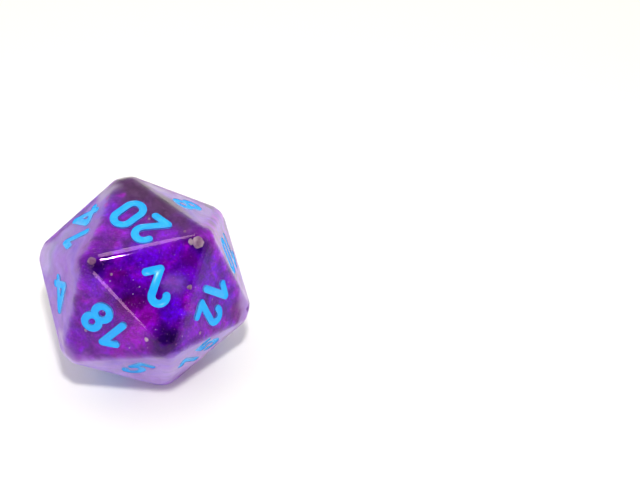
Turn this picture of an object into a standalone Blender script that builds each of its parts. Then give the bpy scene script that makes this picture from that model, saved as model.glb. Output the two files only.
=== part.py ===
"""A twenty-sided polyhedral die (d20) with engraved and inked numerals.

The die rests on its face 1, with face 20 on top. The origin is the centre of face 1, +Z is up,
and face 2 looks towards -Y. The body is an icosahedron with rounded edges. Every digit is a
shallow pocket in a face, and every pocket holds a separate inlay of hardened ink.
"""

import functools
import math

import bmesh
import bpy
from mathutils import Matrix, Vector
from mathutils.geometry import delaunay_2d_cdt

MM = 0.001
GOLDEN = (1 + math.sqrt(5)) / 2

# Driving dimensions of the body.
ACROSS_FACES = 20.0 * MM
EDGE_RADIUS = 1.4 * MM
CORNER_CUT = 0.65 * MM
EDGE_SEGMENTS = 3

# Driving dimensions of the numerals. The stroke is the width of the pocket.
STROKE = 0.80 * MM
DIGIT_HEIGHT = 4.3 * MM
DIGIT_GAP = 0.75 * MM
POCKET_DEPTH = 0.45 * MM
INK_GAP = 0.03 * MM
INK_SINK = 0.06 * MM
DOT_WIDTH = 0.95 * MM
DOT_SHIFT = 0.45 * MM
CUTTER_RISE = 0.5 * MM

# The width of each digit between the middles of its outermost strokes.
DIGIT_WIDTHS = {
    "0": 1.6 * MM, "1": 1.1 * MM, "2": 1.55 * MM, "3": 1.55 * MM, "4": 2.4 * MM,
    "5": 1.8 * MM, "6": 1.7 * MM, "7": 2.0 * MM, "8": 1.6 * MM, "9": 1.7 * MM,
}

# A round stretch has one point for each step of this many degrees.
ARC_STEP = 30
CAP_STEP = 45

# Points closer than this are one point.
WELD = 0.001 * MM

# Values that follow from the driving dimensions.
FACE_DISTANCE = ACROSS_FACES / 2
EDGE_LENGTH = ACROSS_FACES * math.sqrt(3) / GOLDEN**2
SPINE_HEIGHT = DIGIT_HEIGHT - STROKE

# The numbers around each corner. Opposite faces add up to 21.
NUMBERS_AROUND = {
    "A": (20, 2, 18, 4, 14),
    "B": (20, 8, 10, 12, 2),
    "C": (2, 12, 15, 5, 18),
    "D": (20, 14, 6, 16, 8),
    "E": (14, 4, 11, 9, 6),
    "F": (4, 18, 5, 13, 11),
    "G": (5, 15, 7, 1, 13),
    "H": (12, 10, 17, 7, 15),
    "I": (8, 16, 3, 17, 10),
    "J": (1, 7, 17, 3, 19),
    "K": (3, 16, 6, 9, 19),
    "M": (1, 19, 9, 11, 13),
}
OPPOSITE_CORNER = {"A": "J", "B": "M", "D": "G", "C": "K", "I": "F", "E": "H"}

# The corner that the top of each number points to.
TOP_CORNER = {
    1: "J", 2: "C", 3: "I", 4: "F", 5: "C", 6: "K", 7: "H", 8: "I", 9: "E", 10: "H",
    11: "E", 12: "H", 13: "F", 14: "E", 15: "C", 16: "K", 17: "I", 18: "F", 19: "K", 20: "A",
}

# How far a number sits above the middle of its face, towards its top corner: single digits,
# and numbers of two digits.
SINGLE_RISE = 0.4 * MM
DOUBLE_RISE = 0.05 * MM

# The 20 has wider digits than the rest, and they stand closer together.
DIGIT_STRETCH_OF = {20: 1.2}
DIGIT_GAP_OF = {20: 0.5 * MM}

# These two could be taken for each other, so each has a dot after its foot.
DOTTED_NUMBERS = (6, 9)

RESIN_COLOUR = (0.16, 0.03, 0.33, 1.0)
INK_COLOUR = (0.02, 0.36, 0.95, 1.0)


def clear_scene():
    """Remove the objects that the file opens with."""
    for old in list(bpy.data.objects):
        bpy.data.objects.remove(old, do_unlink=True)


def make_material(name, colour, roughness):
    """Return a Principled material, without metal."""
    material = bpy.data.materials.new(name)
    material.use_nodes = True
    material.diffuse_color = colour
    shader = material.node_tree.nodes["Principled BSDF"]
    shader.inputs["Base Color"].default_value = colour
    shader.inputs["Roughness"].default_value = roughness
    shader.inputs["Metallic"].default_value = 0.0
    return material


def add_object(name, mesh, material):
    """Link a mesh to the scene as an object with one material."""
    mesh.materials.clear()
    mesh.materials.append(material)
    item = bpy.data.objects.new(name, mesh)
    bpy.context.collection.objects.link(item)
    return item


# ---------------------------------------------------------------------------------------------
# The solid
# ---------------------------------------------------------------------------------------------

def corner_points():
    """Return each corner of the sharp icosahedron by its letter.

    Seen from above, the corners lie on four rings of three: the top face, a wider ring just
    above the middle, and the mirror images of both through the centre.
    """
    face_radius = EDGE_LENGTH / math.sqrt(3)
    waist_radius = face_radius * GOLDEN
    waist_height = FACE_DISTANCE / GOLDEN**3
    centre = Vector((0, 0, FACE_DISTANCE))
    rings = (
        ("ABD", 210, face_radius, FACE_DISTANCE),
        ("CIE", 270, waist_radius, waist_height),
    )
    corners = {}
    for letters, first_angle, radius, height in rings:
        for turn, letter in enumerate(letters):
            angle = math.radians(first_angle + 120 * turn)
            arm = Vector((radius * math.cos(angle), radius * math.sin(angle), height))
            corners[letter] = centre + arm
            corners[OPPOSITE_CORNER[letter]] = centre - arm
    return corners


def face_letters(number):
    """Return the letters of the three corners around a number."""
    return [letter for letter, around in NUMBERS_AROUND.items() if number in around]


def face_frame(number, corners):
    """Return the matrix of a face: origin in its middle, +Y to the number's top, +Z outwards."""
    letters = face_letters(number)
    middle = sum((corners[letter] for letter in letters), Vector()) / 3
    outward = (middle - Vector((0, 0, FACE_DISTANCE))).normalized()
    upward = (corners[TOP_CORNER[number]] - middle).normalized()
    sideways = upward.cross(outward)
    turn = Matrix((sideways, upward, outward)).transposed()
    return Matrix.Translation(middle) @ turn.to_4x4()


def blunt_icosahedron(corners):
    """Return a bmesh: a smaller icosahedron with each corner cut off by a little pentagon."""
    shrink = (FACE_DISTANCE - EDGE_RADIUS) / FACE_DISTANCE
    centre = Vector((0, 0, FACE_DISTANCE))
    shape = bmesh.new()
    points = {letter: shape.verts.new(centre.lerp(place, shrink)) for letter, place in corners.items()}
    for number in TOP_CORNER:
        shape.faces.new([points[letter] for letter in face_letters(number)])
    bmesh.ops.recalc_face_normals(shape, faces=shape.faces)
    bmesh.ops.bevel(shape, geom=shape.verts[:], offset=CORNER_CUT, segments=1, affect="VERTICES")
    shape.normal_update()
    return shape


def make_body_mesh(corners):
    """Return the body without its pockets.

    It is the shape that a ball of EDGE_RADIUS fills when its middle goes everywhere in the
    blunt icosahedron: a flat over each face, a strip of a cylinder along each edge and a patch
    of a ball at each corner.
    """
    inside = blunt_icosahedron(corners)
    shape = bmesh.new()

    def skin(vert, direction):
        return shape.verts.new(vert.co + direction * EDGE_RADIUS)

    for face in inside.faces:
        shape.faces.new([skin(vert, face.normal) for vert in face.verts])
    shares = [step / EDGE_SEGMENTS for step in range(EDGE_SEGMENTS + 1)]
    for edge in inside.edges:
        left, right = (face.normal for face in edge.link_faces)
        first, second = edge.verts
        for start, end in zip(shares, shares[1:]):
            low = blend(left, right, start)
            high = blend(left, right, end)
            shape.faces.new([skin(first, low), skin(first, high), skin(second, high), skin(second, low)])
    for vert in inside.verts:
        add_ball_patch(shape, skin, vert)
    inside.free()
    bmesh.ops.remove_doubles(shape, verts=shape.verts, dist=WELD)
    bmesh.ops.recalc_face_normals(shape, faces=shape.faces)
    mesh = bpy.data.meshes.new("die_body")
    shape.to_mesh(mesh)
    shape.free()
    return mesh


def add_ball_patch(shape, skin, vert):
    """Add the part of the ball around a point where three faces meet."""
    tip, left, right = (face.normal for face in vert.link_faces)
    rows = []
    for row in range(EDGE_SEGMENTS + 1):
        out = row / EDGE_SEGMENTS
        across = [step / row for step in range(row + 1)] if row else [0]
        rows.append([skin(vert, blend(tip, blend(left, right, share), out)) for share in across])
    for inner, outer in zip(rows, rows[1:]):
        for step in range(len(inner)):
            shape.faces.new([inner[step], outer[step], outer[step + 1]])
        for step in range(len(inner) - 1):
            shape.faces.new([inner[step], outer[step + 1], inner[step + 1]])


def blend(start, end, share):
    """Return the unit direction that lies this share of the way from start to end."""
    return (start * (1 - share) + end * share).normalized()


# ---------------------------------------------------------------------------------------------
# Digits, drawn as the path of a round-ended pen
# ---------------------------------------------------------------------------------------------

def line(start, end):
    """Return a straight run of the pen: its two ends with their direction."""
    start = Vector(start)
    end = Vector(end)
    heading = (end - start).normalized()
    return [(start, heading), (end, heading)]


def arc(centre, radii, from_degrees, to_degrees):
    """Return a round run of the pen as points with their directions."""
    steps = max(2, round(abs(to_degrees - from_degrees) / ARC_STEP))
    way = 1 if to_degrees > from_degrees else -1
    run = []
    for step in range(steps + 1):
        angle = math.radians(from_degrees + (to_degrees - from_degrees) * step / steps)
        place = Vector((
            centre[0] + radii[0] * math.cos(angle),
            centre[1] + radii[1] * math.sin(angle),
        ))
        heading = Vector((-radii[0] * math.sin(angle), radii[1] * math.cos(angle))) * way
        run.append((place, heading.normalized()))
    return run


def side_of(heading):
    """Return the direction to the left of a heading."""
    return Vector((-heading.y, heading.x))


def fan(centre, radius, from_side, to_side, way):
    """Return the points of a round end or corner, without its first and last point."""
    start = math.atan2(from_side.y, from_side.x)
    sweep = (math.atan2(to_side.y, to_side.x) - start) * way % math.tau
    steps = max(1, round(math.degrees(sweep) / CAP_STEP))
    points = []
    for step in range(1, steps):
        angle = start + way * sweep * step / steps
        points.append(centre + radius * Vector((math.cos(angle), math.sin(angle))))
    return points


def one_side(run, radius, way):
    """Return the edge of a stroke on its left (way 1) or on its right (way -1)."""
    edge = []
    for index, (place, heading) in enumerate(run):
        side = side_of(heading) * way
        before = run[index - 1] if index > 0 else None
        if before is None or (before[0] - place).length > radius * 1e-4:
            edge.append(place + side * radius)
            continue
        # Two headings meet at one place. The edge goes round the outside of the corner, and
        # it is cut short where the two edges cross on the inside.
        side_before = side_of(before[1]) * way
        turn = before[1].cross(heading) * way
        if abs(turn) < 1e-6:
            continue
        if turn < 0:
            edge += fan(place, radius, side_before, side, -way)
            edge.append(place + side * radius)
        else:
            middle = (side_before + side).normalized()
            edge[-1] = place + middle * radius / middle.dot(side)
    return edge


def open_outline(run, radius, round_start, round_end):
    """Return the outline of a stroke with two ends, counter-clockwise."""
    left = one_side(run, radius, 1)
    right = one_side(run, radius, -1)
    outline = list(right)
    if round_end:
        end, heading = run[-1]
        outline += fan(end, radius, -side_of(heading), side_of(heading), 1)
    outline += reversed(left)
    if round_start:
        start, heading = run[0]
        outline += fan(start, radius, side_of(heading), -side_of(heading), 1)
    return outline


def closed_outlines(run, radius):
    """Return the outlines of the two halves of a stroke that closes on itself."""
    inner = [place + side_of(heading) * radius for place, heading in run]
    outer = [place - side_of(heading) * radius for place, heading in run]
    half = len(run) // 2
    first = outer[:half + 1] + inner[half::-1]
    second = outer[half:] + outer[:1] + inner[:1] + inner[:half - 1:-1]
    return [first, second]


def pen_stroke(run, round_start=True, round_end=True):
    """Return a stroke with two ends, each of them round or cut flat."""
    return {"run": run, "closed": False, "ends": (round_start, round_end)}


def pen_ring(run):
    """Return a stroke that closes on itself."""
    return {"run": run, "closed": True}


def outlines_of(strokes, radius):
    """Return the outlines of strokes drawn by a pen of this radius. They may overlap."""
    outlines = []
    for stroke in strokes:
        if stroke["closed"]:
            outlines += closed_outlines(stroke["run"], radius)
        else:
            outlines.append(open_outline(stroke["run"], radius, *stroke["ends"]))
    return outlines


def oval(centre, radii):
    """Return the run of a full oval."""
    return arc(centre, radii, 0, 360)[:-1]


def turned_over(strokes, width):
    """Return strokes turned by half a turn about the middle of the digit's own box."""
    corner = Vector((width, SPINE_HEIGHT))
    return [
        {**stroke, "run": [(corner - place, -heading) for place, heading in stroke["run"]]}
        for stroke in strokes
    ]


def draw_digit(digit, stretch):
    """Return a digit's width and its strokes, both measured at the middle of the pen.

    Every digit stands on y = 0 and rises to SPINE_HEIGHT.
    """
    top = SPINE_HEIGHT
    width = DIGIT_WIDTHS[digit] * stretch
    half = width / 2
    if digit == "0":
        upper = arc((half, top - half), (half, half), 0, 180)
        lower = arc((half, half), (half, half), 180, 360)
        strokes = [pen_ring(upper + lower)]
    elif digit == "1":
        flag = 1.1 * MM
        strokes = [pen_stroke(line((0, top - flag), (width, top)) + line((width, top), (width, 0)))]
    elif digit == "2":
        hook = arc((half, top - half), (half, half), 170, -35)
        foot = (0, 0)
        strokes = [pen_stroke(hook + line(hook[-1][0], foot) + line(foot, (width, 0)))]
    elif digit == "3":
        bowl = top / 4
        upper = arc((half, top - bowl), (half * 0.93, bowl), 175, -90)
        lower = arc((half, bowl), (half, bowl), 90, -175)
        strokes = [pen_stroke(upper), pen_stroke(lower)]
    elif digit == "4":
        stem = width * 0.68
        bar = 0.67 * MM
        halfway = (stem / 2, (top + bar) / 2)
        mast = line((stem, 0), (stem, top)) + line((stem, top), halfway)
        boom = line(halfway, (0, bar)) + line((0, bar), (width, bar))
        strokes = [pen_stroke(mast, round_end=False), pen_stroke(boom, round_start=False)]
    elif digit == "5":
        reach = (half * 0.9, 1.15 * MM)
        bowl = arc((width - reach[0], reach[1]), reach, 145, -150)
        corner = (bowl[0][0].x + 0.1 * MM, top)
        strokes = [pen_stroke(line((width, top), corner) + line(corner, bowl[0][0])), pen_stroke(bowl)]
    elif digit == "7":
        serif = 0.7 * MM
        foot = (width * 0.36, 0)
        bar = line((0, top - serif), (0, top)) + line((0, top), (width, top))
        strokes = [pen_stroke(bar + line((width, top), foot))]
    elif digit == "8":
        bowl = top / 4
        upper = oval((half, top - bowl), (half * 0.95, bowl))
        lower = oval((half, bowl), (half, bowl))
        strokes = [pen_ring(upper), pen_ring(lower)]
    else:
        loop = 0.97 * MM
        bend = 0.9 * MM
        tail = line((width, top - loop), (width, bend)) + arc((half, bend), (half, bend), 0, -150)
        strokes = [pen_ring(oval((half, top - loop), (half, loop))), pen_stroke(tail, round_start=False)]
        if digit == "6":
            strokes = turned_over(strokes, width)
    return width, strokes


def united_slab(outlines, shift, low, high):
    """Return a bmesh: the union of flat outlines, moved by shift and extruded from low to high."""
    points = []
    loops = []
    for outline in outlines:
        loops.append(range(len(points), len(points) + len(outline)))
        points += outline
    flat = delaunay_2d_cdt(points, [], [list(loop) for loop in loops], 0, 1e-9)
    places, triangles, sources = flat[0], flat[2], flat[5]
    shape = bmesh.new()
    verts = [shape.verts.new((place.x + shift.x, place.y + shift.y, low)) for place in places]
    for triangle, source in zip(triangles, sources):
        if source:
            shape.faces.new([verts[index] for index in triangle])
    loose = [vert for vert in shape.verts if not vert.link_faces]
    bmesh.ops.delete(shape, geom=loose, context="VERTS")
    bmesh.ops.remove_doubles(shape, verts=shape.verts, dist=WELD)
    bmesh.ops.dissolve_limit(
        shape, angle_limit=math.radians(0.1), verts=shape.verts, edges=shape.edges
    )
    grown = bmesh.ops.extrude_face_region(shape, geom=shape.faces[:])
    lifted = [item for item in grown["geom"] if isinstance(item, bmesh.types.BMVert)]
    bmesh.ops.translate(shape, verts=lifted, vec=(0, 0, high - low))
    bmesh.ops.recalc_face_normals(shape, faces=shape.faces)
    return shape


# ---------------------------------------------------------------------------------------------
# Numbers on the faces
# ---------------------------------------------------------------------------------------------

def dot_outline(radius):
    """Return the outline of a round dot about its middle."""
    sides = 360 // ARC_STEP
    angles = [math.tau * side / sides for side in range(sides)]
    return [Vector((radius * math.cos(angle), radius * math.sin(angle))) for angle in angles]


def number_pieces(number):
    """Return (node name, outlines at a pen's radius, shift) for each inlay of a number.

    The outlines are a function of the pen's radius, because the ink is a little narrower than
    the pocket that holds it. The shift places them in the face's plane.
    """
    stretch = DIGIT_STRETCH_OF.get(number, 1.0)
    drawn = [draw_digit(digit, stretch) for digit in str(number)]
    step = STROKE + DIGIT_GAP_OF.get(number, DIGIT_GAP)
    rise = SINGLE_RISE if len(drawn) == 1 else DOUBLE_RISE
    x = -(sum(width for width, strokes in drawn) + step * (len(drawn) - 1)) / 2
    y = rise - SPINE_HEIGHT / 2
    endings = ("",) if len(drawn) == 1 else ("_tens", "_units")
    pieces = []
    for (width, strokes), ending in zip(drawn, endings):
        outlines = functools.partial(outlines_of, strokes)
        pieces.append((f"numeral_{number}{ending}", outlines, Vector((x, y))))
        x += width + step
    if number in DOTTED_NUMBERS:
        spare = (DOT_WIDTH - STROKE) / 2
        pieces.append((
            f"numeral_{number}_dot",
            lambda radius: [dot_outline(radius + spare)],
            Vector((x - DOT_SHIFT, y)),
        ))
    return pieces


def make_cutter(corners, material):
    """Return one hidden object that holds the pocket of every inlay."""
    pockets = bmesh.new()
    for number in TOP_CORNER:
        for name, outlines, shift in number_pieces(number):
            slab = united_slab(outlines(STROKE / 2), shift, -POCKET_DEPTH, CUTTER_RISE)
            slab.transform(face_frame(number, corners))
            mesh = bpy.data.meshes.new(name + "_pocket")
            slab.to_mesh(mesh)
            slab.free()
            pockets.from_mesh(mesh)
            bpy.data.meshes.remove(mesh)
    mesh = bpy.data.meshes.new("numeral_cutter")
    pockets.to_mesh(mesh)
    pockets.free()
    cutter = add_object("numeral_cutter", mesh, material)
    cutter.hide_render = True
    cutter.display_type = "WIRE"
    return cutter


def make_body(corners, material):
    """Make the resin body, with a pocket cut for every inlay."""
    body = add_object("die_body", make_body_mesh(corners), material)
    cut = body.modifiers.new("numeral_pockets", "BOOLEAN")
    cut.operation = "DIFFERENCE"
    cut.solver = "EXACT"
    cut.object = make_cutter(corners, material)


def make_inlays(corners, material):
    """Make the ink in every pocket, clear of the pocket's floor and walls."""
    for number in TOP_CORNER:
        for name, outlines, shift in number_pieces(number):
            low = -POCKET_DEPTH + INK_GAP
            slab = united_slab(outlines(STROKE / 2 - INK_GAP), shift, low, -INK_SINK)
            mesh = bpy.data.meshes.new(name)
            slab.to_mesh(mesh)
            slab.free()
            inlay = add_object(name, mesh, material)
            inlay.matrix_world = face_frame(number, corners)


def main():
    clear_scene()
    corners = corner_points()
    resin = make_material("violet_resin", RESIN_COLOUR, 0.08)
    ink = make_material("blue_ink", INK_COLOUR, 0.25)
    make_body(corners, resin)
    make_inlays(corners, ink)


main()
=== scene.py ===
"""Looks of the twenty-sided die: a clear violet resin body over a cloudy core of pigment, with
flecks between them, and glossy blue ink in engraved numerals, on a pale table in soft light.

Everything is in metres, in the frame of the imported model. The die rests on its face 1 with its
20 on top, its 2 towards -Y, and its axis on the world's Z axis.
"""

import math
import random

import bmesh
import bpy
from mathutils import Matrix, Vector, noise
from mathutils.geometry import delaunay_2d_cdt


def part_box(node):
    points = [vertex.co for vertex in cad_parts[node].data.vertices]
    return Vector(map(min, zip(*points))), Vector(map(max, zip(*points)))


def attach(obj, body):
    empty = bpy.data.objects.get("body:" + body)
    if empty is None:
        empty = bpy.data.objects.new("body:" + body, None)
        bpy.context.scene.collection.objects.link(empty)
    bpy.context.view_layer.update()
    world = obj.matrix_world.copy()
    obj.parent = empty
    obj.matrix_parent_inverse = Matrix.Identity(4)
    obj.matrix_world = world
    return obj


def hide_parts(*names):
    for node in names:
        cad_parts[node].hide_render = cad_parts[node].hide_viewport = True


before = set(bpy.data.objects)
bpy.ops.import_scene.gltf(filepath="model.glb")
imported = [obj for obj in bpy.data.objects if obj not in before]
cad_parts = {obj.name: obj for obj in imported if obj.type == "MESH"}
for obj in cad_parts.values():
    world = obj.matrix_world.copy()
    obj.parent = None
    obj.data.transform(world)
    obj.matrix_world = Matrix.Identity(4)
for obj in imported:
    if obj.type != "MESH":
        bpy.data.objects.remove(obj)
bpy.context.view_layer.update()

MM = 0.001
GOLDEN = (1 + math.sqrt(5)) / 2

# The die's size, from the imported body: it stands on z = 0 and its height is its face distance.
ACROSS_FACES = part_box("die_body")[1][2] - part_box("die_body")[0][2]
FACE_DISTANCE = ACROSS_FACES / 2
EDGE_LENGTH = ACROSS_FACES * math.sqrt(3) / GOLDEN**2
CENTRE = Vector((0, 0, FACE_DISTANCE))

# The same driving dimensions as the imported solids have.
EDGE_RADIUS = 1.4 * MM
CORNER_CUT = 0.65 * MM
STROKE = 0.80 * MM
DIGIT_HEIGHT = 4.3 * MM
DIGIT_GAP = 0.75 * MM
POCKET_DEPTH = 0.45 * MM
DOT_WIDTH = 0.95 * MM
DOT_SHIFT = 0.45 * MM
CUTTER_RISE = 0.5 * MM
SPINE_HEIGHT = DIGIT_HEIGHT - STROKE
DIGIT_WIDTHS = {
    "0": 1.6 * MM, "1": 1.1 * MM, "2": 1.55 * MM, "3": 1.55 * MM, "4": 2.4 * MM,
    "5": 1.8 * MM, "6": 1.7 * MM, "7": 2.0 * MM, "8": 1.6 * MM, "9": 1.7 * MM,
}

# How far above the middle of its face a number stands, with one digit and with two.
SINGLE_RISE = 0.4 * MM
DOUBLE_RISE = 0.05 * MM
# The 20 has wider digits that stand closer together.
DIGIT_STRETCH_OF = {20: 1.2}
DIGIT_GAP_OF = {20: 0.5 * MM}
DOTTED_NUMBERS = (6, 9)

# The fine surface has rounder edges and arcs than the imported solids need.
EDGE_SEGMENTS = 8
ARC_STEP = 10
CAP_STEP = 15
WELD = 0.001 * MM

# The ink fills its pocket and overlaps the resin by a hair. Its top is hollow.
INK_OVERLAP = 0.012 * MM
INK_LIP = 0.03 * MM
INK_HOLLOW = 0.15 * MM
HOLLOW_RINGS = (0.8, 0.55, 0.28)

# Edges that turn by more than these angles are drawn as creases.
RESIN_SHARP_ANGLE = math.radians(35)
INK_SHARP_ANGLE = math.radians(60)
# Points are dropped from a flat outline where it turns by less than this.
FLAT_ANGLE = math.radians(0.1)

# The cloudy core: how deep it lies under the faces, how much deeper it dips at most, how crisp its
# edges are, how many dips fit along its radius, and how finely its surface is divided.
CORE_DEPTH = 0.72 * MM
CORE_DIP = 0.55 * MM
CORE_SHARPNESS = 120
CORE_DIP_COUNT = 3.5
CORE_SUBDIVISIONS = 7

# The numbers that meet at each corner. Every corner has a letter of its own.
NUMBERS_AROUND = {
    "A": (20, 2, 18, 4, 14),
    "B": (20, 8, 10, 12, 2),
    "C": (2, 12, 15, 5, 18),
    "D": (20, 14, 6, 16, 8),
    "E": (14, 4, 11, 9, 6),
    "F": (4, 18, 5, 13, 11),
    "G": (5, 15, 7, 1, 13),
    "H": (12, 10, 17, 7, 15),
    "I": (8, 16, 3, 17, 10),
    "J": (1, 7, 17, 3, 19),
    "K": (3, 16, 6, 9, 19),
    "M": (1, 19, 9, 11, 13),
}
OPPOSITE_CORNER = {"A": "J", "B": "M", "D": "G", "C": "K", "I": "F", "E": "H"}

# The corner that the top of each number points to.
TOP_CORNER = {
    1: "J", 2: "C", 3: "I", 4: "F", 5: "C", 6: "K", 7: "H", 8: "I", 9: "E", 10: "H",
    11: "E", 12: "H", 13: "F", 14: "E", 15: "C", 16: "K", 17: "I", 18: "F", 19: "K", 20: "A",
}


# ---------------------------------------------------------------------------------------------
# The solid
# ---------------------------------------------------------------------------------------------

def blend(start, end, share):
    """Return the unit direction that lies this share of the way from start to end."""
    return (start * (1 - share) + end * share).normalized()


def corner_points():
    """Return each corner of the sharp icosahedron by its letter."""
    face_radius = EDGE_LENGTH / math.sqrt(3)
    rings = (
        ("ABD", 210, face_radius, FACE_DISTANCE),
        ("CIE", 270, face_radius * GOLDEN, FACE_DISTANCE / GOLDEN**3),
    )
    corners = {}
    for letters, first_angle, radius, height in rings:
        for turn, letter in enumerate(letters):
            angle = math.radians(first_angle + 120 * turn)
            arm = Vector((radius * math.cos(angle), radius * math.sin(angle), height))
            corners[letter] = CENTRE + arm
            corners[OPPOSITE_CORNER[letter]] = CENTRE - arm
    return corners


CORNERS = corner_points()


def face_letters(number):
    """Return the letters of the three corners around a number."""
    return [letter for letter, around in NUMBERS_AROUND.items() if number in around]


def face_frame(number):
    """Return the matrix of a face: origin in its middle, +Y to the number's top, +Z outwards."""
    middle = sum((CORNERS[letter] for letter in face_letters(number)), Vector()) / 3
    outward = (middle - CENTRE).normalized()
    upward = (CORNERS[TOP_CORNER[number]] - middle).normalized()
    turn = Matrix((upward.cross(outward), upward, outward)).transposed()
    return Matrix.Translation(middle) @ turn.to_4x4()


NORMALS = {number: (face_frame(number).translation - CENTRE).normalized() for number in TOP_CORNER}


def place_on(number, x, y, depth=0.0):
    """Return a point on a face, from millimetres in the face's own frame."""
    return face_frame(number) @ Vector((x * MM, y * MM, -depth * MM))


def blunt_icosahedron():
    """Return a bmesh: a smaller icosahedron with each corner cut off by a little pentagon."""
    shrink = (FACE_DISTANCE - EDGE_RADIUS) / FACE_DISTANCE
    shape = bmesh.new()
    points = {letter: shape.verts.new(CENTRE.lerp(place, shrink)) for letter, place in CORNERS.items()}
    for number in TOP_CORNER:
        shape.faces.new([points[letter] for letter in face_letters(number)])
    bmesh.ops.recalc_face_normals(shape, faces=shape.faces)
    bmesh.ops.bevel(shape, geom=shape.verts[:], offset=CORNER_CUT, segments=1, affect="VERTICES")
    shape.normal_update()
    return shape


def add_ball_patch(shape, skin, vert):
    """Add the part of the ball around a point where three faces meet."""
    tip, left, right = (face.normal for face in vert.link_faces)
    rows = []
    for row in range(EDGE_SEGMENTS + 1):
        out = row / EDGE_SEGMENTS
        across = [step / row for step in range(row + 1)] if row else [0]
        rows.append([skin(vert, blend(tip, blend(left, right, share), out)) for share in across])
    for inner, outer in zip(rows, rows[1:]):
        for step in range(len(inner)):
            shape.faces.new([inner[step], outer[step], outer[step + 1]])
        for step in range(len(inner) - 1):
            shape.faces.new([inner[step], outer[step + 1], inner[step + 1]])


def rounded_icosahedron():
    """Return a bmesh: the shape that a ball fills when its middle goes through the blunt solid."""
    inside = blunt_icosahedron()
    shape = bmesh.new()

    def skin(vert, outward):
        return shape.verts.new(vert.co + outward * EDGE_RADIUS)

    for face in inside.faces:
        shape.faces.new([skin(vert, face.normal) for vert in face.verts])
    shares = [step / EDGE_SEGMENTS for step in range(EDGE_SEGMENTS + 1)]
    for edge in inside.edges:
        left, right = (face.normal for face in edge.link_faces)
        first, second = edge.verts
        for start, end in zip(shares, shares[1:]):
            low = blend(left, right, start)
            high = blend(left, right, end)
            shape.faces.new([skin(first, low), skin(first, high), skin(second, high), skin(second, low)])
    for vert in inside.verts:
        add_ball_patch(shape, skin, vert)
    inside.free()
    bmesh.ops.remove_doubles(shape, verts=shape.verts, dist=WELD)
    bmesh.ops.recalc_face_normals(shape, faces=shape.faces)
    return shape


# ---------------------------------------------------------------------------------------------
# Digits, drawn as the path of a round-ended pen
# ---------------------------------------------------------------------------------------------

def line(start, end):
    """Return a straight run of the pen: its two ends with their direction."""
    start = Vector(start)
    end = Vector(end)
    heading = (end - start).normalized()
    return [(start, heading), (end, heading)]


def arc(centre, radii, from_degrees, to_degrees):
    """Return a round run of the pen as points with their directions."""
    steps = max(2, round(abs(to_degrees - from_degrees) / ARC_STEP))
    way = 1 if to_degrees > from_degrees else -1
    run = []
    for step in range(steps + 1):
        angle = math.radians(from_degrees + (to_degrees - from_degrees) * step / steps)
        place = Vector((
            centre[0] + radii[0] * math.cos(angle),
            centre[1] + radii[1] * math.sin(angle),
        ))
        heading = Vector((-radii[0] * math.sin(angle), radii[1] * math.cos(angle))) * way
        run.append((place, heading.normalized()))
    return run


def side_of(heading):
    """Return the direction to the left of a heading."""
    return Vector((-heading.y, heading.x))


def fan(centre, radius, from_side, to_side, way):
    """Return the points of a round end or corner, without its first and last point."""
    start = math.atan2(from_side.y, from_side.x)
    sweep = (math.atan2(to_side.y, to_side.x) - start) * way % math.tau
    steps = max(1, round(math.degrees(sweep) / CAP_STEP))
    points = []
    for step in range(1, steps):
        angle = start + way * sweep * step / steps
        points.append(centre + radius * Vector((math.cos(angle), math.sin(angle))))
    return points


def one_side(run, radius, way):
    """Return the edge of a stroke on its left (way 1) or on its right (way -1)."""
    edge = []
    for index, (place, heading) in enumerate(run):
        side = side_of(heading) * way
        before = run[index - 1] if index > 0 else None
        if before is None or (before[0] - place).length > radius * 1e-4:
            edge.append(place + side * radius)
            continue
        # Two headings meet at one place. The edge goes round the outside of the corner, and
        # it is cut short where the two edges cross on the inside.
        side_before = side_of(before[1]) * way
        turn = before[1].cross(heading) * way
        if abs(turn) < 1e-6:
            continue
        if turn < 0:
            edge += fan(place, radius, side_before, side, -way)
            edge.append(place + side * radius)
        else:
            middle = (side_before + side).normalized()
            edge[-1] = place + middle * radius / middle.dot(side)
    return edge


def open_outline(run, radius, round_start, round_end):
    """Return the outline of a stroke with two ends, counter-clockwise."""
    left = one_side(run, radius, 1)
    right = one_side(run, radius, -1)
    outline = list(right)
    if round_end:
        end, heading = run[-1]
        outline += fan(end, radius, -side_of(heading), side_of(heading), 1)
    outline += reversed(left)
    if round_start:
        start, heading = run[0]
        outline += fan(start, radius, side_of(heading), -side_of(heading), 1)
    return outline


def closed_outlines(run, radius):
    """Return the outlines of the two halves of a stroke that closes on itself."""
    inner = [place + side_of(heading) * radius for place, heading in run]
    outer = [place - side_of(heading) * radius for place, heading in run]
    half = len(run) // 2
    first = outer[:half + 1] + inner[half::-1]
    second = outer[half:] + outer[:1] + inner[:1] + inner[:half - 1:-1]
    return [first, second]


def pen_stroke(run, round_start=True, round_end=True):
    """Return a stroke with two ends, each of them round or cut flat."""
    return {"run": run, "closed": False, "ends": (round_start, round_end)}


def pen_ring(run):
    """Return a stroke that closes on itself."""
    return {"run": run, "closed": True}


def outlines_of(strokes, radius):
    """Return the outlines of strokes drawn by a pen of this radius. They may overlap."""
    outlines = []
    for stroke in strokes:
        if stroke["closed"]:
            outlines += closed_outlines(stroke["run"], radius)
        else:
            outlines.append(open_outline(stroke["run"], radius, *stroke["ends"]))
    return outlines


def oval(centre, radii):
    """Return the run of a full oval."""
    return arc(centre, radii, 0, 360)[:-1]


def turned_over(strokes, width):
    """Return strokes turned by half a turn about the middle of the digit's own box."""
    corner = Vector((width, SPINE_HEIGHT))
    return [
        {**stroke, "run": [(corner - place, -heading) for place, heading in stroke["run"]]}
        for stroke in strokes
    ]


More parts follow.
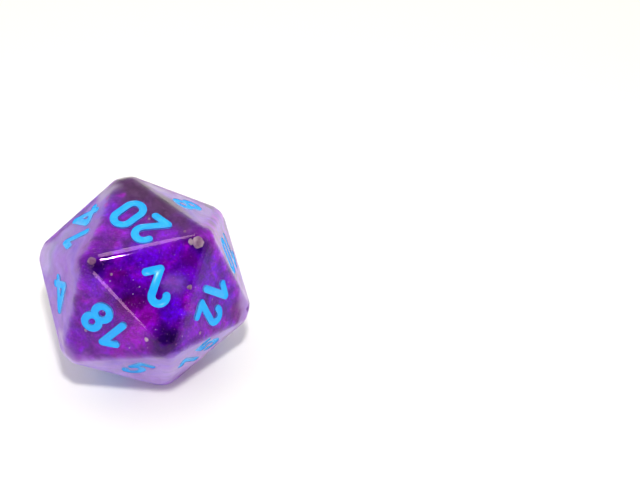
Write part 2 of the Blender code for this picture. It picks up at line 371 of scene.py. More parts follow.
def draw_digit(digit, stretch):
    """Return a digit's width and its strokes, both measured at the middle of the pen.

    Every digit stands on y = 0 and rises to SPINE_HEIGHT.
    """
    top = SPINE_HEIGHT
    width = DIGIT_WIDTHS[digit] * stretch
    half = width / 2
    if digit == "0":
        upper = arc((half, top - half), (half, half), 0, 180)
        lower = arc((half, half), (half, half), 180, 360)
        strokes = [pen_ring(upper + lower)]
    elif digit == "1":
        flag = 1.1 * MM
        strokes = [pen_stroke(line((0, top - flag), (width, top)) + line((width, top), (width, 0)))]
    elif digit == "2":
        hook = arc((half, top - half), (half, half), 170, -35)
        foot = (0, 0)
        strokes = [pen_stroke(hook + line(hook[-1][0], foot) + line(foot, (width, 0)))]
    elif digit == "3":
        bowl = top / 4
        upper = arc((half, top - bowl), (half * 0.93, bowl), 175, -90)
        lower = arc((half, bowl), (half, bowl), 90, -175)
        strokes = [pen_stroke(upper), pen_stroke(lower)]
    elif digit == "4":
        stem = width * 0.68
        bar = 0.67 * MM
        halfway = (stem / 2, (top + bar) / 2)
        mast = line((stem, 0), (stem, top)) + line((stem, top), halfway)
        boom = line(halfway, (0, bar)) + line((0, bar), (width, bar))
        strokes = [pen_stroke(mast, round_end=False), pen_stroke(boom, round_start=False)]
    elif digit == "5":
        reach = (half * 0.9, 1.15 * MM)
        bowl = arc((width - reach[0], reach[1]), reach, 145, -150)
        corner = (bowl[0][0].x + 0.1 * MM, top)
        strokes = [pen_stroke(line((width, top), corner) + line(corner, bowl[0][0])), pen_stroke(bowl)]
    elif digit == "7":
        serif = 0.7 * MM
        foot = (width * 0.36, 0)
        bar = line((0, top - serif), (0, top)) + line((0, top), (width, top))
        strokes = [pen_stroke(bar + line((width, top), foot))]
    elif digit == "8":
        bowl = top / 4
        upper = oval((half, top - bowl), (half * 0.95, bowl))
        lower = oval((half, bowl), (half, bowl))
        strokes = [pen_ring(upper), pen_ring(lower)]
    else:
        loop = 0.97 * MM
        bend = 0.9 * MM
        tail = line((width, top - loop), (width, bend)) + arc((half, bend), (half, bend), 0, -150)
        strokes = [pen_ring(oval((half, top - loop), (half, loop))), pen_stroke(tail, round_start=False)]
        if digit == "6":
            strokes = turned_over(strokes, width)
    return width, strokes


def flat_union(outlines, extra=()):
    """Return a flat bmesh: the union of outlines, with its triangles meeting at extra points too."""
    points = []
    loops = []
    for outline in outlines:
        loops.append(list(range(len(points), len(points) + len(outline))))
        points += outline
    flat = delaunay_2d_cdt(points + list(extra), [], loops, 0, 1e-9)
    places, triangles, sources = flat[0], flat[2], flat[5]
    shape = bmesh.new()
    verts = [shape.verts.new((place.x, place.y, 0)) for place in places]
    for triangle, source in zip(triangles, sources):
        if source:
            shape.faces.new([verts[index] for index in triangle])
    loose = [vert for vert in shape.verts if not vert.link_faces]
    bmesh.ops.delete(shape, geom=loose, context="VERTS")
    bmesh.ops.remove_doubles(shape, verts=shape.verts, dist=WELD)
    return shape


def grow(shape, low, high):
    """Turn a flat bmesh into a slab from low to high, and return its upper verts."""
    bmesh.ops.translate(shape, verts=shape.verts, vec=(0, 0, low))
    grown = bmesh.ops.extrude_face_region(shape, geom=shape.faces[:])
    upper = [item for item in grown["geom"] if isinstance(item, bmesh.types.BMVert)]
    bmesh.ops.translate(shape, verts=upper, vec=(0, 0, high - low))
    bmesh.ops.recalc_face_normals(shape, faces=shape.faces)
    return upper


def distance_to_path(point, strokes):
    """Return how far a point is from the nearest stroke's path."""
    nearest = math.inf
    for stroke in strokes:
        places = [place for place, heading in stroke["run"]]
        if stroke["closed"]:
            places.append(places[0])
        for start, end in zip(places, places[1:]):
            along = end - start
            share = (point - start).dot(along) / max(along.length_squared, 1e-18)
            foot = start + along * min(1, max(0, share))
            nearest = min(nearest, (point - foot).length)
    return nearest


# ---------------------------------------------------------------------------------------------
# Numbers on the faces
# ---------------------------------------------------------------------------------------------

def dot_outline(radius):
    """Return the outline of a round dot about its middle."""
    sides = 360 // ARC_STEP
    angles = [math.tau * side / sides for side in range(sides)]
    return [Vector((radius * math.cos(angle), radius * math.sin(angle))) for angle in angles]


def number_pieces(number):
    """Return (node name, strokes, shift) for each inlay of a number. A dot has no strokes."""
    stretch = DIGIT_STRETCH_OF.get(number, 1.0)
    drawn = [draw_digit(digit, stretch) for digit in str(number)]
    step = STROKE + DIGIT_GAP_OF.get(number, DIGIT_GAP)
    rise = SINGLE_RISE if len(drawn) == 1 else DOUBLE_RISE
    x = -(sum(width for width, strokes in drawn) + step * (len(drawn) - 1)) / 2
    y = rise - SPINE_HEIGHT / 2
    endings = ("",) if len(drawn) == 1 else ("_tens", "_units")
    pieces = []
    for (width, strokes), ending in zip(drawn, endings):
        pieces.append((f"numeral_{number}{ending}", strokes, Vector((x, y, 0))))
        x += width + step
    if number in DOTTED_NUMBERS:
        pieces.append((f"numeral_{number}_dot", [], Vector((x - DOT_SHIFT, y, 0))))
    return pieces


def piece_outlines(strokes, radius):
    """Return the outlines of an inlay or its pocket for a pen of this radius."""
    if strokes:
        return outlines_of(strokes, radius)
    return [dot_outline(radius + (DOT_WIDTH - STROKE) / 2)]


# ---------------------------------------------------------------------------------------------
# Resin body and ink
# ---------------------------------------------------------------------------------------------

def add_object(name, shape, material):
    """Turn a bmesh into an object with one material."""
    mesh = bpy.data.meshes.new(name)
    shape.to_mesh(mesh)
    shape.free()
    mesh.materials.append(material)
    item = bpy.data.objects.new(name, mesh)
    bpy.context.collection.objects.link(item)
    return item


def applied(item):
    """Apply an object's modifiers to its mesh."""
    graph = bpy.context.evaluated_depsgraph_get()
    mesh = bpy.data.meshes.new_from_object(item.evaluated_get(graph))
    item.modifiers.clear()
    old = item.data
    item.data = mesh
    bpy.data.meshes.remove(old)


def join(shape, part):
    """Move everything from one bmesh into another."""
    mesh = bpy.data.meshes.new("part")
    part.to_mesh(mesh)
    part.free()
    shape.from_mesh(mesh)
    bpy.data.meshes.remove(mesh)


def make_resin_body(material):
    """Make the fine resin body with a pocket for every inlay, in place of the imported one."""
    body = add_object("resin_body", rounded_icosahedron(), material)
    pockets = bmesh.new()
    for number in TOP_CORNER:
        for _, strokes, shift in number_pieces(number):
            slab = flat_union(piece_outlines(strokes, STROKE / 2))
            bmesh.ops.dissolve_limit(slab, angle_limit=FLAT_ANGLE, verts=slab.verts, edges=slab.edges)
            grow(slab, -POCKET_DEPTH, CUTTER_RISE)
            slab.transform(face_frame(number) @ Matrix.Translation(shift))
            join(pockets, slab)
    cutter = add_object("pocket_cutter", pockets, material)
    cut = body.modifiers.new("pockets", "BOOLEAN")
    cut.operation = "DIFFERENCE"
    cut.solver = "EXACT"
    cut.object = cutter
    applied(body)
    bpy.data.objects.remove(cutter, do_unlink=True)
    body.data.shade_smooth()
    body.data.set_sharp_from_angle(angle=RESIN_SHARP_ANGLE)
    weighted = body.modifiers.new("flat_faces", "WEIGHTED_NORMAL")
    weighted.keep_sharp = True
    weighted.weight = 100
    applied(body)
    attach(body, "root")
    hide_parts("die_body")


def make_inlay(number, name, strokes, shift, material):
    """Make one inlay of ink with a hollow top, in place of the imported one."""
    radius = STROKE / 2 + INK_OVERLAP
    rings = []
    for share in HOLLOW_RINGS:
        for outline in piece_outlines(strokes, radius * share):
            rings += outline
    spine = [place for stroke in strokes for place, heading in stroke["run"]]
    slab = flat_union(piece_outlines(strokes, radius), rings + spine)
    for vert in grow(slab, -POCKET_DEPTH - INK_OVERLAP, -INK_LIP):
        flat = vert.co.to_2d()
        out = distance_to_path(flat, strokes) if strokes else flat.length
        vert.co.z -= INK_HOLLOW * max(0, 1 - (out / radius) ** 2)
    slab.transform(face_frame(number) @ Matrix.Translation(shift))
    inlay = add_object("ink_" + name[len("numeral_"):], slab, material)
    inlay.data.shade_smooth()
    inlay.data.set_sharp_from_angle(angle=INK_SHARP_ANGLE)
    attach(inlay, "root")
    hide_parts(name)


# ---------------------------------------------------------------------------------------------
# Pigments of the core
# ---------------------------------------------------------------------------------------------

# The pigments, as linear red, green and blue.
NIGHT = Vector((0.018, 0.000, 0.085))
DUSK = Vector((0.050, 0.000, 0.140))
WINE = Vector((0.120, 0.000, 0.150))
VIOLET = Vector((0.118, 0.000, 0.380))
BLUE_VIOLET = Vector((0.100, 0.000, 0.600))
ORCHID = Vector((0.210, 0.004, 0.470))
MAGENTA = Vector((0.310, 0.002, 0.420))
PURPLE = Vector((0.150, 0.010, 0.330))
# Painted reflection: the dark grey of a reflection in face 20, painted on the core under that face.
DARK_REFLECTION = Vector((0.058, 0.024, 0.062))
# LILAC, PALE, ASH and MIST are partly the resin's pale pigment and partly painted light: they stand for
# the white table's light that shines through the faces at the die's sides and reflects off them.
LILAC = Vector((0.285, 0.145, 0.540))
PALE = Vector((0.460, 0.330, 0.660))
ASH = Vector((0.260, 0.260, 0.500))
MIST = Vector((0.500, 0.440, 0.560))

# The pigment that lies under most of each face. The lilac of the faces at the sides and below is partly
# painted light.
FACE_PIGMENTS = {
    1: VIOLET, 2: VIOLET, 3: ORCHID, 4: LILAC, 5: LILAC, 6: VIOLET, 7: PURPLE, 8: LILAC, 9: PURPLE,
    10: ORCHID, 11: LILAC, 12: VIOLET, 13: LILAC, 14: LILAC, 15: LILAC, 16: PURPLE, 17: LILAC,
    18: PURPLE, 19: BLUE_VIOLET, 20: PURPLE,
}
# How crisply the face pigments meet at an edge.
BLEND_SHARPNESS = 110
# How far the deep pigments reach over the edges of the milky faces, whose pale pigment is partly painted
# light, as a difference of cosines.
MILKY_LIT_STEP = 0.035
# A pigment with more green than this is milky and partly painted light, and smoother than the deep ones.
MILKY_LIT_GREEN = 0.06

# Swirls in the pigment: their size, and about how far they bend the borders between the faces'
# pigments and the borders of the patches, in millimetres.
SWIRL_SIZE = 2.6
FACE_SWIRL = 0.3
PATCH_SWIRL = 0.8
# Seeds the vector noise of the swirls, which otherwise starts from the clock and differs each run.
SWIRL_SEED = 3
# The sizes, in millimetres, of the noise that changes the hue, adds streaks and shades the pigment.
HUE_SIZE = 3.0
STREAK_SIZE = 1.3
SHADE_SIZE = 1.5
# How much lighter or darker the shading makes deep and milky pigments.
DEEP_SHADE = 0.4
MILKY_LIT_SHADE = 0.16
# A patch ends at the first share of its radius, and fades over the second.
PATCH_END = 1.1
PATCH_FADE = 0.75

# Patches of pigment: face, place on it and radius in millimetres, pigment and strength. The dark grey
# patches on face 20 are a painted reflection, and the pale patches on the side faces are partly painted
# light.
PATCHES = (
    (20, 0.0, -3.4, 3.2, DARK_REFLECTION, 0.95),
    (20, 3.4, -3.0, 2.6, DARK_REFLECTION, 0.95),
    (20, -3.4, -3.2, 2.2, DARK_REFLECTION, 0.75),
    (20, 3.4, 0.8, 1.7, BLUE_VIOLET, 0.45),
    (20, -3.2, 0.2, 1.8, ORCHID, 0.7),
    (20, 0.2, 6.6, 2.3, NIGHT, 1.0),
    (20, 5.4, -3.2, 2.9, DARK_REFLECTION, 0.9),
    (20, 5.4, -0.6, 0.5, MAGENTA, 0.9),
    (20, 4.6, 0.2, 0.5, MAGENTA, 0.8),
    (20, 4.4, -1.4, 0.45, MAGENTA, 0.7),
    (20, 0.8, 4.6, 1.6, DUSK, 0.6),
    (2, 0.3, -3.0, 2.2, BLUE_VIOLET, 0.6),
    (2, 5.4, -2.9, 1.8, NIGHT, 0.85),
    (2, -5.6, -3.2, 1.6, NIGHT, 0.85),
    (20, -5.6, -3.4, 1.0, WINE, 0.7),
    (2, 3.9, -1.6, 1.5, WINE, 0.7),
    (2, 2.9, 0.6, 1.9, DUSK, 0.9),
    (2, 1.3, 3.0, 1.5, MAGENTA, 0.75),
    (2, -1.2, 3.1, 1.5, BLUE_VIOLET, 0.9),
    (2, 0.2, 6.2, 2.4, NIGHT, 1.0),
    (2, -1.9, 0.6, 1.6, LILAC, 0.4),
    (2, -4.4, -1.4, 1.2, WINE, 0.7),
    (18, 4.2, -2.0, 1.8, BLUE_VIOLET, 0.35),
    (18, -2.6, -2.0, 2.2, MAGENTA, 0.5),
    (18, 0.0, -3.4, 1.6, WINE, 0.75),
    (18, 1.0, 1.0, 2.5, VIOLET, 0.35),
    (12, 2.8, -0.6, 2.0, ORCHID, 0.7),
    (12, -4.6, -3.0, 1.6, NIGHT, 0.9),
    (12, 0.3, 5.2, 1.8, WINE, 0.95),
    (12, -1.8, -2.6, 1.6, VIOLET, 0.5),
    (14, -4.6, -3.0, 1.6, VIOLET, 0.9),
    (4, -4.6, -3.0, 1.8, VIOLET, 0.6),
    (8, -0.6, 5.6, 0.9, NIGHT, 0.8),
    (8, -0.6, 3.8, 0.8, VIOLET, 0.5),
    (10, -5.2, -2.4, 1.0, NIGHT, 0.7),
    (8, 4.8, -2.3, 2.0, VIOLET, 0.55),
    (8, 3.2, 1.6, 2.2, ORCHID, 0.4),
    (10, 4.2, -3.0, 2.0, MAGENTA, 0.5),
    (14, -1.6, 5.0, 2.4, ASH, 0.75),
    (14, 0.2, 2.4, 1.6, ASH, 0.4),
    (14, 0.4, 7.0, 1.6, PALE, 0.7),
    (14, -4.0, -2.4, 2.0, MAGENTA, 0.3),
    (8, -3.8, -0.8, 1.8, MIST, 0.6),
    (8, -1.4, 1.2, 1.8, MIST, 0.3),
    (14, 4.4, -1.6, 1.7, MIST, 0.6),
    (4, 0.4, 5.8, 1.9, MIST, 0.6),
    (10, 0.0, 5.8, 2.4, PALE, 0.7),
    (15, -3.0, 0.6, 2.4, PALE, 0.35),
    (5, -4.0, -2.6, 2.2, PALE, 0.35),
    (18, -2.5, 1.2, 1.3, MAGENTA, 0.6),
    (18, 0.6, 5.0, 1.8, VIOLET, 0.7),
    (12, -2.6, -1.8, 3.4, BLUE_VIOLET, 0.3),
    (4, 4.8, -2.9, 2.0, PALE, 0.6),
)

# The patches as places in the scene: place, radius, pigment and strength.
PATCH_SPOTS = [
    (place_on(number, x, y, CORE_DEPTH / MM), radius * MM, pigment, strength)
    for number, x, y, radius, pigment, strength in PATCHES
]


def cloud_at(place, size, seed):
    """Return soft noise from about -1 to 1, with features of a size in millimetres."""
    return noise.fractal(place / (size * MM) + Vector((seed, 2 * seed, 3 * seed)), 0.8, 2.0, 5)


def face_pigment(out):
    """Return the blend of the faces' pigments in a direction from the middle of the die."""
    facing = {
        number: out.dot(normal) - (MILKY_LIT_STEP if FACE_PIGMENTS[number] == LILAC else 0)
        for number, normal in NORMALS.items()
    }
    nearest = max(facing.values())
    colour = Vector()
    total = 0
    for number, closeness in facing.items():
        share = math.exp(BLEND_SHARPNESS * (closeness - nearest))
        colour += FACE_PIGMENTS[number] * share
        total += share
    return colour / total


def pigment_at(place):
    """Return the colour of the core at a place, as linear red, green and blue."""
    swirl = noise.turbulence_vector(place / (SWIRL_SIZE * MM), 3, False) * MM
    colour = face_pigment((place + swirl * FACE_SWIRL - CENTRE).normalized())
    place = place + swirl * PATCH_SWIRL
    hue = cloud_at(place, HUE_SIZE, 5.0)
    colour = colour.lerp(ORCHID if hue > 0 else BLUE_VIOLET, min(0.5, 0.6 * abs(hue)))
    streak = cloud_at(place, STREAK_SIZE, 2.0) if colour.y < MILKY_LIT_GREEN else 0
    colour = colour.lerp(MAGENTA if streak > 0 else DUSK, min(0.6, 0.8 * abs(streak)))
    for spot, radius, pigment, strength in PATCH_SPOTS:
        away = (place - spot).length / radius
        if away < PATCH_END:
            fade = min(1, (PATCH_END - away) / PATCH_FADE)
            colour = colour.lerp(pigment, strength * fade * fade * (3 - 2 * fade))
    shade = DEEP_SHADE if colour.y < MILKY_LIT_GREEN else MILKY_LIT_SHADE
    return colour * (1 + shade * cloud_at(place, SHADE_SIZE, 9.0))


def make_core(material):
    """Make the cloudy core: an icosahedron with soft edges that dips under the faces here and there."""
    noise.seed_set(SWIRL_SEED)
    shape = bmesh.new()
    bmesh.ops.create_icosphere(shape, subdivisions=CORE_SUBDIVISIONS, radius=1.0)
    pigments = []
    for vert in shape.verts:
        out = vert.co.normalized()
        spread = sum(max(0, out.dot(normal)) ** CORE_SHARPNESS for normal in NORMALS.values())
        reach = spread ** (-1 / CORE_SHARPNESS)
        cloud = noise.fractal(out * CORE_DIP_COUNT, 1.0, 2.0, 4)
        depth = CORE_DEPTH + CORE_DIP * min(1, max(0, cloud))
        vert.co = CENTRE + out * reach * (FACE_DISTANCE - depth)
        pigments.append(pigment_at(vert.co))
    core = add_object("nebula_core", shape, material)
    paint = core.data.attributes.new("pigment", "FLOAT_COLOR", "POINT")
    for index, pigment in enumerate(pigments):
        paint.data[index].color = (*pigment, 1)
    core.data.shade_smooth()
    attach(core, "root")


# ---------------------------------------------------------------------------------------------
# Glitter and grains
# ---------------------------------------------------------------------------------------------

# Glitter: radii and depths under the face in millimetres, and the largest tilt in radians.
GLITTER_COUNT = 170
GLITTER_RADII = (0.03, 0.10)
GLITTER_DEPTHS = (0.5, 0.68)
GLITTER_TILT = 0.5
FLAKE_THICKNESS = 0.02 * MM
FLAKE_TAPER = 0.8
# The part of a face's triangle that flecks are spread over.
GLITTER_SPREAD = 0.86


def add_flake(shape, place, radius, turn):
    """Add a thin six-sided flake to a bmesh."""
    bmesh.ops.create_cone(
        shape, cap_ends=True, segments=6, radius1=radius, radius2=radius * FLAKE_TAPER,
        depth=FLAKE_THICKNESS, matrix=Matrix.Translation(place) @ turn.to_4x4(),
    )


def point_in_triangle(pick):
    """Return a random point, in millimetres, inside a face's triangle, clear of its edges."""
    first, second = sorted((pick.random(), pick.random()))
    shares = (first, second - first, 1 - second)
    radius = EDGE_LENGTH / math.sqrt(3) / MM * GLITTER_SPREAD
    angles = [math.radians(90 + 120 * turn) for turn in range(3)]
    x = sum(share * radius * math.cos(angle) for share, angle in zip(shares, angles))
    y = sum(share * radius * math.sin(angle) for share, angle in zip(shares, angles))
    return x, y


def make_glitter(material):
    """Make the small bright flecks that hang between the core and the surface."""
    pick = random.Random(20)
    shape = bmesh.new()
    smallest, largest = GLITTER_RADII
    for _ in range(GLITTER_COUNT):
        number = pick.choice(list(TOP_CORNER))
        x, y = point_in_triangle(pick)
        radius = smallest + (largest - smallest) * pick.random() ** 3
        depth = pick.uniform(*GLITTER_DEPTHS)
        tilt = Matrix.Rotation(pick.uniform(-GLITTER_TILT, GLITTER_TILT), 3, "X")
        spin = Matrix.Rotation(pick.uniform(0, 3), 3, "Z")
        turn = face_frame(number).to_3x3() @ tilt @ spin
        add_flake(shape, place_on(number, x, y, depth), radius * MM, turn)
    flecks = add_object("glitter_flecks", shape, material)
    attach(flecks, "root")


# Larger pale grains: face, place on it, depth and radius in millimetres.
GRAINS = (
    (2, -5.2, -3.1, 0.75, 0.56),
    (2, -4.5, -3.35, 0.65, 0.28),
    (20, -0.2, 6.75, 0.62, 0.40),
    (18, -3.7, -2.5, 0.62, 0.22),
    (2, -3.3, 1.2, 0.62, 0.24),
    (18, 1.0, 2.6, 0.62, 0.16),
    (20, -4.3, -2.4, 0.60, 0.16),
    (20, -0.3, -1.1, 0.60, 0.14),
    (12, 3.6, -0.2, 0.60, 0.16),
    (2, 4.2, -1.9, 0.60, 0.13),
    (19, 1.5, 2.0, 0.62, 0.35),
    (3, -2.5, 0.5, 0.62, 0.45),
    (6, 2.0, -1.0, 0.62, 0.30),
    (11, 0.5, 3.5, 0.62, 0.40),
    (7, -3.0, 1.0, 0.62, 0.25),
)
# How lumpy a grain is, and how flat.
GRAIN_LUMPS = 0.35
GRAIN_FLATNESS = 0.3


def make_grains(material):
    """Make the pale grains: squashed pebbles just above the core."""
    shape = bmesh.new()
    for index, (number, x, y, depth, radius) in enumerate(GRAINS):
        grain = bmesh.new()
        bmesh.ops.create_icosphere(grain, subdivisions=4, radius=1.0)
        for vert in grain.verts:
            rough = noise.fractal(vert.co * 0.9 + Vector((index * 7.0, 0, 0)), 1.0, 2.0, 2)
            vert.co *= 1 + GRAIN_LUMPS * rough
            vert.co.z *= GRAIN_FLATNESS
        size = Matrix.Scale(radius * MM, 4)
        turn = face_frame(number).to_3x3().to_4x4()
        grain.transform(Matrix.Translation(place_on(number, x, y, depth)) @ turn @ size)
        join(shape, grain)
    grains = add_object("pale_grains", shape, material)
    grains.data.shade_smooth()
    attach(grains, "root")


# ---------------------------------------------------------------------------------------------
# Materials
# ---------------------------------------------------------------------------------------------

# The resin: its gloss, how its reflections are tinted, and how it tints light that passes through.
RESIN_IOR = 1.54
RESIN_ROUGHNESS = 0.05
RESIN_SHINE = (0.85, 0.30, 1.0, 1)
RESIN_TINT = (0.80, 0.45, 1.0, 1)
RESIN_TINT_DENSITY = 60.0

# The ink's two blues, its shine and its range of roughness.
INK_BLUES = ((0.008, 0.35, 0.98), (0.028, 0.46, 1.0))
INK_SHINE = 0.18
INK_ROUGHNESS = (0.16, 0.34)

# How strongly the core glows, in place of light that scatters inside the resin.
CORE_GLOW = 0.4
# The colour of the dust on the deep pigments.
DUST_COLOUR = (0.55, 0.20, 0.55)

# The dark and the pale colour of the glitter and of the grains.
GLITTER_COLOURS = ((0.30, 0.14, 0.45), (0.70, 0.52, 0.80))
GRAIN_COLOURS = ((0.32, 0.13, 0.26), (0.88, 0.64, 0.76))


def new_material(name):
    """Return a material, its node tree and its Principled shader."""
    material = bpy.data.materials.new(name)
    material.use_nodes = True
    tree = material.node_tree
    return material, tree, tree.nodes["Principled BSDF"]


def add_node(tree, kind, links=(), **values):
    """Add a node, set its values by input name or property, and link sockets into its inputs."""
    node = tree.nodes.new(kind)
    for key, value in values.items():
        name = key.replace("_", " ").title()
        if hasattr(node, key):
            setattr(node, key, value)
        else:
            node.inputs[name].default_value = value
    for name, socket in dict(links).items():
        tree.links.new(socket, node.inputs[name])
    return node


def mixed(tree, share, first, second):
    """Return a colour socket: a mix of two colours, each a tuple or a socket, by a share socket."""
    node = tree.nodes.new("ShaderNodeMix")
    node.data_type = "RGBA"
    tree.links.new(share, node.inputs["Factor"])
    for index, colour in ((6, first), (7, second)):
        if isinstance(colour, tuple):
            node.inputs[index].default_value = (*colour, 1)
        else:
            tree.links.new(colour, node.inputs[index])
    return node.outputs[2]


def noise_range(tree, place, scale, span, output):
    """Return a socket of noise at a place, with a span of its values mapped to an output span."""
    cloud = add_node(tree, "ShaderNodeTexNoise", {"Vector": place}, scale=scale, detail=4.0)
    level = add_node(tree, "ShaderNodeMapRange", {"Value": cloud.outputs["Fac"]})
    for name, value in zip(("From Min", "From Max", "To Min", "To Max"), (*span, *output)):
        level.inputs[name].default_value = value
    return level.outputs["Result"]


def resin_material():
    """Clear resin with a faint violet tint, violet reflections and a hand-polished surface."""
    material, tree, shader = new_material("violet_resin_clear")
    shader.inputs["Base Color"].default_value = (1.0, 1.0, 1.0, 1)
    shader.inputs["Transmission Weight"].default_value = 1.0
    shader.inputs["IOR"].default_value = RESIN_IOR
    shader.inputs["Roughness"].default_value = RESIN_ROUGHNESS
    shader.inputs["Specular Tint"].default_value = RESIN_SHINE
    place = add_node(tree, "ShaderNodeTexCoord").outputs["Object"]
    wave = add_node(tree, "ShaderNodeTexNoise", {"Vector": place}, scale=260.0, detail=3.0)
    bump = add_node(tree, "ShaderNodeBump", {"Height": wave.outputs["Fac"]}, strength=0.05)
    bump.inputs["Distance"].default_value = 0.1 * MM
    tree.links.new(bump.outputs["Normal"], shader.inputs["Normal"])
    absorb = add_node(tree, "ShaderNodeVolumeAbsorption", density=RESIN_TINT_DENSITY)
    absorb.inputs["Color"].default_value = RESIN_TINT
    tree.links.new(absorb.outputs["Volume"], tree.nodes["Material Output"].inputs["Volume"])
    return material


def ink_material():
    """Glossy sky-blue ink, a little uneven in colour and gloss."""
    material, tree, shader = new_material("blue_ink_gloss")
    place = add_node(tree, "ShaderNodeTexCoord").outputs["Object"]
    cloud = add_node(tree, "ShaderNodeTexNoise", {"Vector": place}, scale=900.0, detail=4.0)
    tree.links.new(mixed(tree, cloud.outputs["Fac"], *INK_BLUES), shader.inputs["Base Color"])
    shader.inputs["Specular IOR Level"].default_value = INK_SHINE
    grain = add_node(tree, "ShaderNodeTexNoise", {"Vector": place}, scale=2600.0, detail=3.0)
    gloss = add_node(tree, "ShaderNodeMapRange", {"Value": grain.outputs["Fac"]})
    gloss.inputs["To Min"].default_value, gloss.inputs["To Max"].default_value = INK_ROUGHNESS
    tree.links.new(gloss.outputs["Result"], shader.inputs["Roughness"])
    bump = add_node(tree, "ShaderNodeBump", {"Height": grain.outputs["Fac"]}, strength=0.12)
    bump.inputs["Distance"].default_value = 0.05 * MM
    tree.links.new(bump.outputs["Normal"], shader.inputs["Normal"])
    return material


def core_material():
    """The pigments painted on the core, with grain and dust that fade out where the pigment is pale. The
    pale pigments are partly painted light, and the core's glow is painted light.
    """
    material, tree, shader = new_material("nebula_pigment")
    place = add_node(tree, "ShaderNodeTexCoord").outputs["Object"]
    paint = add_node(tree, "ShaderNodeAttribute", attribute_name="pigment").outputs["Color"]
    cloud = noise_range(tree, place, 900.0, (0.35, 0.65), (0.72, 1.25))
    grain = noise_range(tree, place, 3400.0, (0.3, 0.7), (0.72, 1.32))
    dust = noise_range(tree, place, 5200.0, (0.63, 0.78), (0.0, 0.65))
    milky_lit = add_node(tree, "ShaderNodeSeparateColor", {"Color": paint}).outputs["Green"]
    calm = add_node(tree, "ShaderNodeMapRange", {"Value": milky_lit}, to_max=0.85)
    calm.inputs["From Max"].default_value = 0.07
    rough = paint
    for share in (cloud, grain):
        scaled = add_node(tree, "ShaderNodeVectorMath", operation="SCALE")
        tree.links.new(rough, scaled.inputs[0])
        tree.links.new(share, scaled.inputs["Scale"])
        rough = scaled.outputs[0]
    rough = mixed(tree, dust, rough, DUST_COLOUR)
    paint = mixed(tree, calm.outputs["Result"], rough, paint)
    tree.links.new(paint, shader.inputs["Base Color"])
    # Painted light: the core glows in its pigment's colour, in place of light that scatters inside the
    # resin.
    tree.links.new(paint, shader.inputs["Emission Color"])
    shader.inputs["Emission Strength"].default_value = CORE_GLOW
    shader.inputs["Roughness"].default_value = 0.9
    shader.inputs["Specular IOR Level"].default_value = 0.0
    return material


def mottled_material(name, dark, pale, scale):
    """A matt material whose colour wanders between a dark and a pale one."""
    material, tree, shader = new_material(name)
    place = add_node(tree, "ShaderNodeTexCoord").outputs["Object"]
    cloud = noise_range(tree, place, scale, (0.36, 0.62), (0.0, 1.0))
    tree.links.new(mixed(tree, cloud, dark, pale), shader.inputs["Base Color"])
    shader.inputs["Roughness"].default_value = 0.7
    shader.inputs["Specular IOR Level"].default_value = 0.2
    return material


# ---------------------------------------------------------------------------------------------
# Stage, camera and light
# ---------------------------------------------------------------------------------------------

# Where the camera stands, what it looks at, its roll and its lens in millimetres.
CAMERA_PLACE = Vector((-13.9, -84.2, 110.8)) * MM
CAMERA_TARGET = Vector((24.1, 8.7, 0.0)) * MM
CAMERA_ROLL = math.radians(3.96)
CAMERA_LENS = 66.2

# Softboxes: the directions of their two ends as seen from the die (azimuth from +Y towards +X and
# elevation, in degrees), their width and distance in millimetres, and their brightness.
KEY_SOFTBOX = ((-177.0, 66.5), (-177.0, 70.5), 20.0, 205.0, 330.0)
GLINT = ((171.5, 64.0), (171.5, 74.0), 8.0, 205.0, 300.0)
BACK_STRIP = ((6.0, 51.0), (75.0, 84.0), 90.0, 600.0, 8.0)
SIDE_STRIP = ((-129.0, 1.0), (-148.0, 26.0), 130.0, 600.0, 9.0)
# Balances the resin's violet shine, so that its highlights look neutral.
STRIP_COLOUR = (0.74, 1.0, 0.50)

# The room, and the angles from the camera's direction where its dark patch fades, in degrees.
SKY_COLOUR = (1.0, 0.985, 0.96, 1)
SKY_LEVEL = 1.1
SHADE_LEVEL = 0.05
SHADE_ANGLES = (28.0, 48.0)

# How far the table reaches to each side, in metres, and its colour.
TABLE_REACH = 1.5
TABLE_COLOUR = (0.99, 0.975, 0.92, 1)


def make_camera():
    """Put the camera at the photograph's viewing angle."""
    data = bpy.data.cameras.new("camera")
    data.lens = CAMERA_LENS
    data.sensor_width = 36.0
    data.clip_start = 0.01
    camera = bpy.data.objects.new("camera", data)
    bpy.context.collection.objects.link(camera)
    look = (CAMERA_TARGET - CAMERA_PLACE).to_track_quat("-Z", "Y").to_matrix()
    camera.matrix_world = (
        Matrix.Translation(CAMERA_PLACE) @ look.to_4x4() @ Matrix.Rotation(CAMERA_ROLL, 4, "Z")
    )
    bpy.context.scene.camera = camera


def direction(azimuth, elevation):
    """Return the unit vector at an azimuth, from +Y towards +X, and an elevation, in degrees."""
    turn = math.radians(azimuth)
    rise = math.radians(elevation)
    return Vector((math.sin(turn) * math.cos(rise), math.cos(turn) * math.cos(rise), math.sin(rise)))


def add_softbox(name, softbox, colour=(1, 1, 1)):
    """Add an oval softbox that faces the die and reaches from one direction to another."""
    first, last, width, distance, level = softbox
    ends = [CENTRE + direction(*end) * distance * MM for end in (first, last)]
    data = bpy.data.lights.new(name, "AREA")
    data.shape = "ELLIPSE"
    data.size = width * MM
    data.size_y = (ends[1] - ends[0]).length
    data.energy = level * math.pi * math.pi / 4 * data.size * data.size_y
    data.color = colour
    light = bpy.data.objects.new(name, data)
    bpy.context.collection.objects.link(light)
    place = (ends[0] + ends[1]) / 2
    back = (place - CENTRE).normalized()
    along = (ends[1] - ends[0]).normalized()
    turn = Matrix((along.cross(back), along, back)).transposed().to_4x4()
    light.matrix_world = Matrix.Translation(place) @ turn
    light.visible_transmission = False
    return light


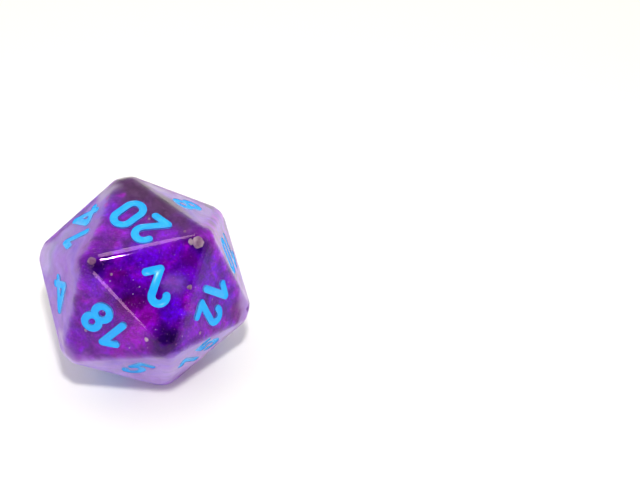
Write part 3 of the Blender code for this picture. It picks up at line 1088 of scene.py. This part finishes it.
def make_world():
    """A white room with a dark patch where the photographer stands."""
    world = bpy.data.worlds.new("studio")
    bpy.context.scene.world = world
    world.use_nodes = True
    tree = world.node_tree
    background = tree.nodes["Background"]
    way = add_node(tree, "ShaderNodeTexCoord").outputs["Generated"]
    facing = add_node(tree, "ShaderNodeVectorMath", operation="DOT_PRODUCT")
    tree.links.new(way, facing.inputs[0])
    facing.inputs[1].default_value = (CAMERA_PLACE - CENTRE).normalized()
    level = add_node(tree, "ShaderNodeMapRange", {"Value": facing.outputs["Value"]})
    level.interpolation_type = "SMOOTHSTEP"
    level.inputs["From Min"].default_value = math.cos(math.radians(SHADE_ANGLES[1]))
    level.inputs["From Max"].default_value = math.cos(math.radians(SHADE_ANGLES[0]))
    level.inputs["To Min"].default_value = SKY_LEVEL
    level.inputs["To Max"].default_value = SHADE_LEVEL
    tree.links.new(level.outputs["Result"], background.inputs["Strength"])
    background.inputs["Color"].default_value = SKY_COLOUR


def make_table():
    """Make the pale table, which isn't part of the object."""
    shape = bmesh.new()
    bmesh.ops.create_grid(shape, x_segments=2, y_segments=2, size=TABLE_REACH)
    material, _, shader = new_material("white_table")
    shader.inputs["Base Color"].default_value = TABLE_COLOUR
    shader.inputs["Roughness"].default_value = 0.9
    shader.inputs["Specular IOR Level"].default_value = 0.0
    add_object("table", shape, material)


def make_softboxes():
    """Add the key, which lights the scene, and the softboxes that only show as highlights."""
    add_softbox("key", KEY_SOFTBOX).visible_glossy = False
    add_softbox("glint", GLINT).visible_diffuse = False
    add_softbox("back_strip", BACK_STRIP, STRIP_COLOUR).visible_diffuse = False
    add_softbox("side_strip", SIDE_STRIP, STRIP_COLOUR).visible_diffuse = False


def main():
    """Make the camera, the pieces of the die, and the table, room and light around it."""
    make_camera()
    make_resin_body(resin_material())
    ink = ink_material()
    for number in TOP_CORNER:
        for name, strokes, shift in number_pieces(number):
            make_inlay(number, name, strokes, shift, ink)
    make_core(core_material())
    make_glitter(mottled_material("glitter", *GLITTER_COLOURS, 3000.0))
    make_grains(mottled_material("pale_grain_colour", *GRAIN_COLOURS, 800.0))
    make_table()
    make_world()
    make_softboxes()
    bpy.context.scene.view_settings.view_transform = "Standard"


main()
